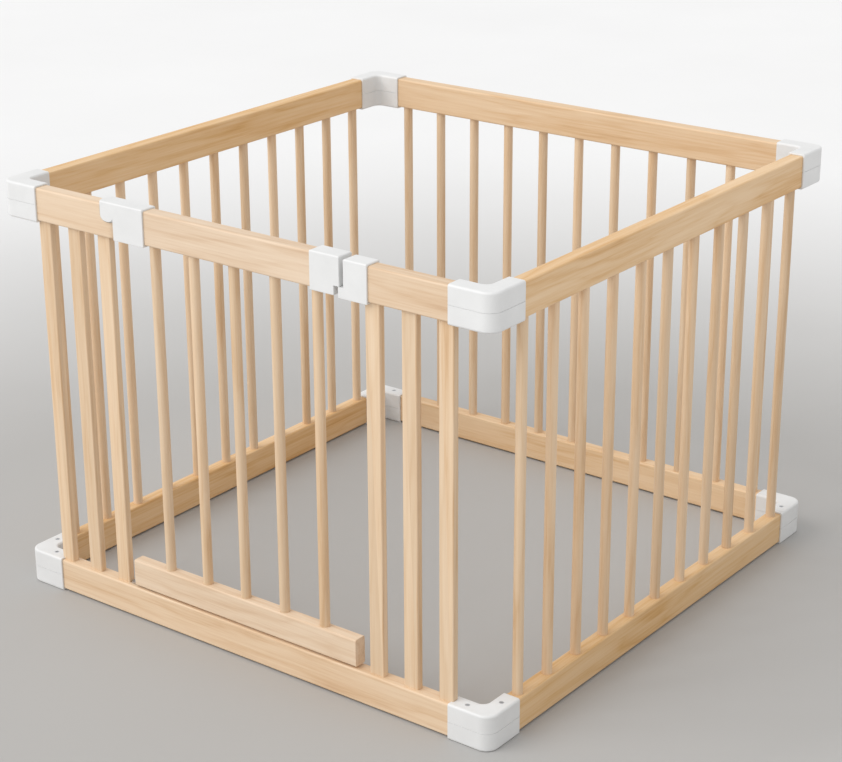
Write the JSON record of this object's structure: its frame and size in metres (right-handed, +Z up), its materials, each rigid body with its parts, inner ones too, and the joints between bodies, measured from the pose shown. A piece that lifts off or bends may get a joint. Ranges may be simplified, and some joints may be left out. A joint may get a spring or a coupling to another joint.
{
  "type": "playpen",
  "caption": "Square wooden playpen with round spindles, white plastic corner connectors and a lift-and-swing gate in the front panel.",
  "frame": {"origin": "centre of the footprint, on the floor under the bottom corner connectors", "axes": "+Z up; the gate panel faces -Y; the gate's hinge is towards -X and its latch towards +X"},
  "size_m": [1, 1, 0.7385],
  "materials": {
    "wood_rails": "clear matt lacquer on pale softwood",
    "wood_bars": "clear matt lacquer on pale softwood",
    "white_plastic": "fine matt moulded",
    "nylon": "smooth",
    "steel": "zinc plated"
  },
  "bodies": {
    "frame": {"back_bottom_rail": "wood_rails", "back_left_bottom_base": "white_plastic", "back_left_bottom_cover": "white_plastic", "back_left_top_base": "white_plastic", "back_left_top_cover": "white_plastic", "back_right_bottom_base": "white_plastic", "back_right_bottom_cover": "white_plastic", "back_right_top_base": "white_plastic", "back_right_top_cover": "white_plastic", "back_spindles": "wood_bars", "back_top_rail": "wood_rails", "bottom_corner_screws": "steel", "catch_cap_screw": "steel", "front_bottom_rail": "wood_rails", "front_left_bottom_base": "white_plastic", "front_left_bottom_cover": "white_plastic", "front_left_posts": "wood_bars", "front_left_stub_rail": "wood_rails", "front_left_top_base": "white_plastic", "front_left_top_cover": "white_plastic", "front_right_bottom_base": "white_plastic", "front_right_bottom_cover": "white_plastic", "front_right_posts": "wood_bars", "front_right_stub_rail": "wood_rails", "front_right_top_base": "white_plastic", "front_right_top_cover": "white_plastic", "latch_catch_cap": "white_plastic", "left_bottom_rail": "wood_rails", "left_spindles": "wood_bars", "left_top_rail": "wood_rails", "lower_hinge_bush": "nylon", "right_bottom_rail": "wood_rails", "right_spindles": "wood_bars", "right_top_rail": "wood_rails", "top_corner_screws": "steel", "upper_hinge_bush": "nylon"},
    "gate_pivots": {"upper_hinge_pin": "steel", "lower_hinge_pin": "steel"},
    "gate": {"gate_top_rail": "wood_rails", "gate_bottom_rail": "wood_rails", "gate_spindles": "wood_bars", "gate_hinge_cap": "white_plastic", "gate_latch_cap": "white_plastic", "gate_cap_screws": "steel", "gate_pivot_strap": "steel", "gate_strap_screws": "steel"}
  },
  "joints": [
    {"name": "gate_lift", "type": "slide", "parent": "frame", "child": "gate_pivots", "axis": [0, 0, 1], "range_m": [0, 0.01]},
    {"name": "gate_swing", "type": "hinge", "parent": "gate_pivots", "child": "gate", "pos_m": [-0.256, -0.484, 0.4], "axis": [0, 0, 1], "range_deg": [-90, 90]}
  ]
}
